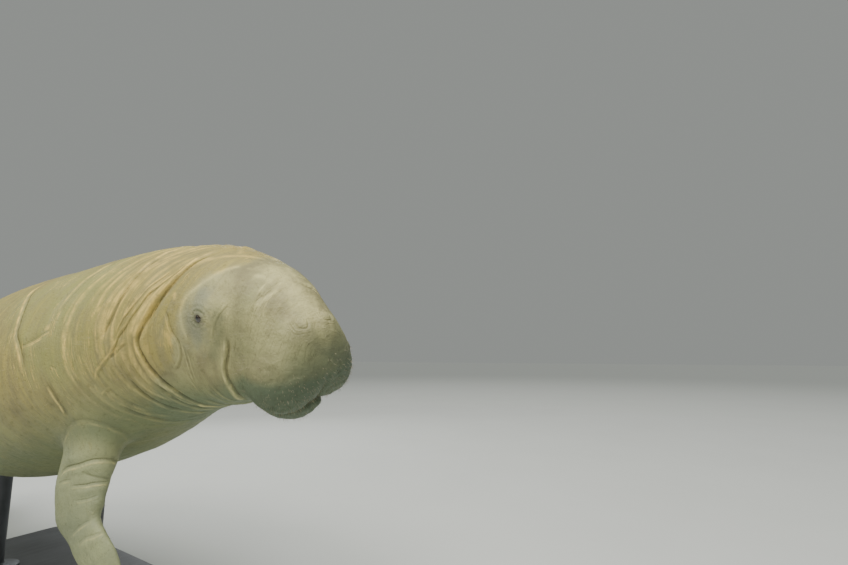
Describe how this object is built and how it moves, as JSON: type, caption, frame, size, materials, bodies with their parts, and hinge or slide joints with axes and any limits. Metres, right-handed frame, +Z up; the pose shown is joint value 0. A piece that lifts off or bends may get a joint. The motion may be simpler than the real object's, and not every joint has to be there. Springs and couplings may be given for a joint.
{
  "type": "manatee museum model",
  "caption": "Life-size still model of an adult manatee swimming nose-up with its head bowed, one flipper hanging and one swept back, on a flat base with upright rods.",
  "frame": {"origin": "centre of the whole part's bounding box at floor level, on the underside of the base", "axes": "+X the way the animal faces, +Y its left side, +Z up"},
  "size_m": [2.7192, 0.7712, 1.094],
  "materials": {
    "skin_head": "matt, finely wrinkled grey-brown skin",
    "skin_body": "matt grey-brown skin under olive and ochre algae",
    "eye": "wet gloss",
    "nail": "satin horn",
    "stand": "satin dark paint"
  },
  "bodies": {
    "root": {"head": "skin_head", "muzzle": "skin_head", "lower_jaw": "skin_head", "neck": "skin_body", "chest": "skin_body", "torso": "skin_body", "rump": "skin_body", "tail_stock": "skin_body", "tail_paddle": "skin_body", "flipper_right_arm": "skin_body", "flipper_right_paddle": "skin_body", "flipper_left_arm": "skin_body", "flipper_left_paddle": "skin_body", "eye_right": "eye", "eye_left": "eye", "nail_right_1": "nail", "nail_right_2": "nail", "nail_right_3": "nail", "nail_right_4": "nail", "nail_left_1": "nail", "nail_left_2": "nail", "nail_left_3": "nail", "nail_left_4": "nail", "stand_base": "stand", "stand_rod_front": "stand", "stand_rod_rear": "stand"}
  },
  "joints": []
}
